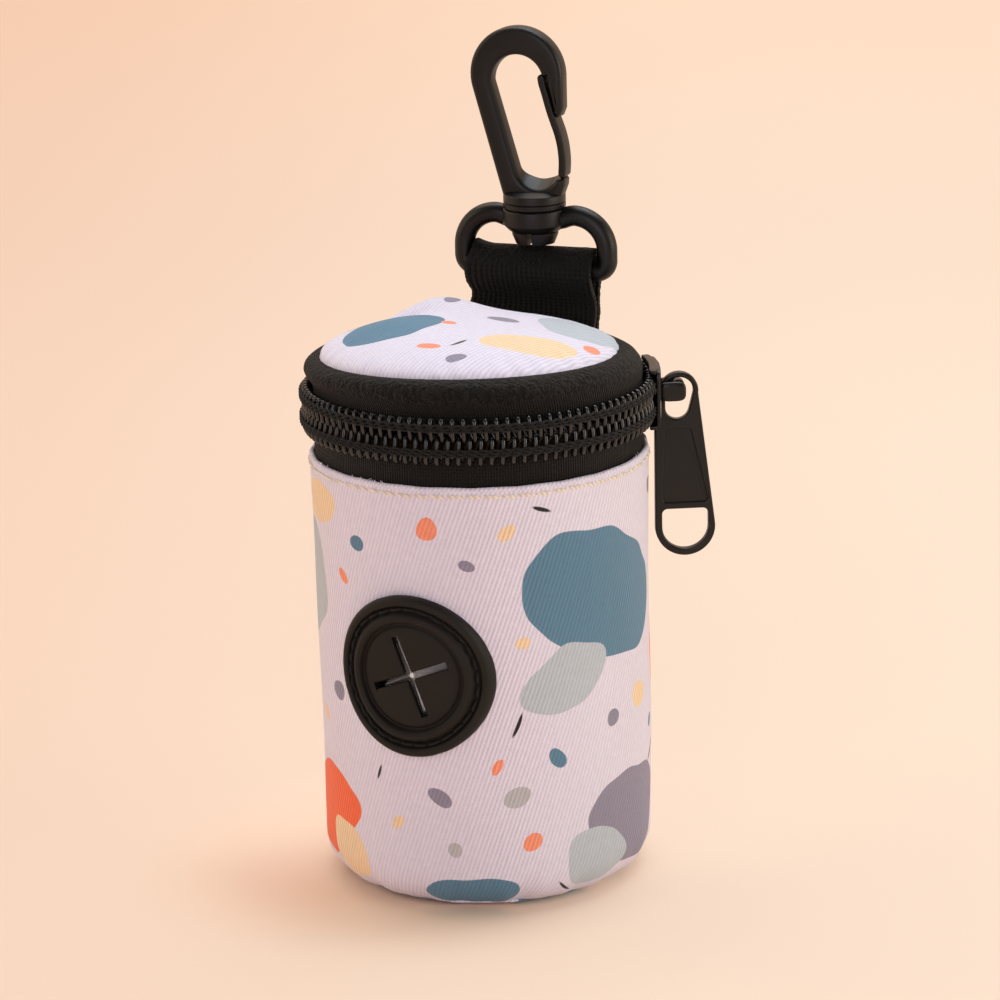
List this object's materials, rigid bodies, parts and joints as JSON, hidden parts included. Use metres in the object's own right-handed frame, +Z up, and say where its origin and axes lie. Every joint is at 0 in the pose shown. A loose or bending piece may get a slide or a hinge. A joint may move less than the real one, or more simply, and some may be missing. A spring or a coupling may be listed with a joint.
{
  "type": "dog poop bag dispenser",
  "caption": "Round padded fabric pouch for a roll of dog waste bags, with a zipped domed lid, a slit rubber outlet, and a webbing strap with a D ring and swivel snap hook.",
  "frame": {"origin": "middle of the pouch's base, on the surface it stands on", "axes": "+Z up along the pouch, -Y out through the bag outlet, +Y towards the lid's hinge and the strap, +X to the viewer's right"},
  "size_m": [0.0565, 0.055, 0.1179],
  "materials": {
    "printed_twill": "matt printed twill",
    "foam": "matt closed-cell foam",
    "lining": "plain woven nylon",
    "board": "matt",
    "binding_tape": "matt woven tape",
    "cream_thread": "twisted polyester thread",
    "black_thread": "twisted polyester thread",
    "zipper_tape": "woven polyester tape",
    "zipper_coil": "satin nylon filament",
    "outlet_rubber": "matt moulded rubber",
    "webbing": "woven polypropylene",
    "black_plastic": "satin moulded acetal",
    "black_metal": "satin black enamel",
    "bag_film": "soft polyethylene film",
    "core_paper": "plain grey-brown paper board"
  },
  "bodies": {
    "pouch": {"side_panel": "printed_twill", "side_foam": "foam", "side_lining": "lining", "base_panel": "printed_twill", "base_board": "board", "base_lining": "lining", "base_binding": "binding_tape", "hem_thread": "cream_thread", "lower_tape": "zipper_tape", "lower_coil": "zipper_coil", "lower_hinge": "zipper_tape", "outlet_patch": "outlet_rubber", "outlet_thread": "black_thread"},
    "lid": {"lid_panel": "printed_twill", "lid_foam": "foam", "lid_lining": "lining", "lid_binding": "binding_tape", "upper_tape": "zipper_tape", "upper_coil": "zipper_coil", "upper_hinge": "zipper_tape", "strap_root": "webbing", "root_thread": "black_thread"},
    "strap": {"strap_loop": "webbing", "strap_thread": "black_thread"},
    "ring": {"d_ring": "black_plastic"},
    "hook": {"swivel_hook": "black_plastic"},
    "gate": {"hook_gate": "black_plastic"},
    "slider": {"slider_body": "black_metal"},
    "pull": {"pull_tab": "black_metal"},
    "roll": {"bag_roll": "bag_film", "roll_core": "core_paper"}
  },
  "joints": [
    {"name": "lid_open", "type": "hinge", "parent": "pouch", "child": "lid", "pos_m": [0, 0.0232, 0.069], "axis": [-1, 0, 0], "range_deg": [0, 100]},
    {"name": "slider_run", "type": "hinge", "parent": "pouch", "child": "slider", "pos_m": [0, 0, 0.069], "axis": [0, 0, -1], "range_deg": [-21, 250], "deforming": ["lower_coil", "upper_coil"]},
    {"name": "pull_swing", "type": "hinge", "parent": "slider", "child": "pull", "pos_m": [0.02582, 0.01204, 0.0693], "axis": [0.4226, -0.9063, 0], "range_deg": [0, 120]},
    {"name": "strap_bend", "type": "hinge", "parent": "lid", "child": "strap", "pos_m": [0, 0.025, 0.0779], "axis": [-1, 0, 0], "range_deg": [-30, 75]},
    {"name": "ring_swing", "type": "hinge", "parent": "strap", "child": "ring", "pos_m": [0, 0.025, 0.0825], "axis": [1, 0, 0], "range_deg": [-85, 65]},
    {"name": "hook_swivel", "type": "hinge", "parent": "ring", "child": "hook", "pos_m": [0, 0.025, 0.09145], "axis": [0, 0, 1], "continuous": true},
    {"name": "gate_press", "type": "hinge", "parent": "hook", "child": "gate", "pos_m": [0.0047, 0.025, 0.0968], "axis": [0, -1, 0], "range_deg": [0, 20], "stiffness_Nm_per_rad": 0.01},
    {"name": "roll_spin", "type": "hinge", "parent": "pouch", "child": "roll", "pos_m": [0, 0, 0.032], "axis": [0, 0, 1], "continuous": true}
  ]
}
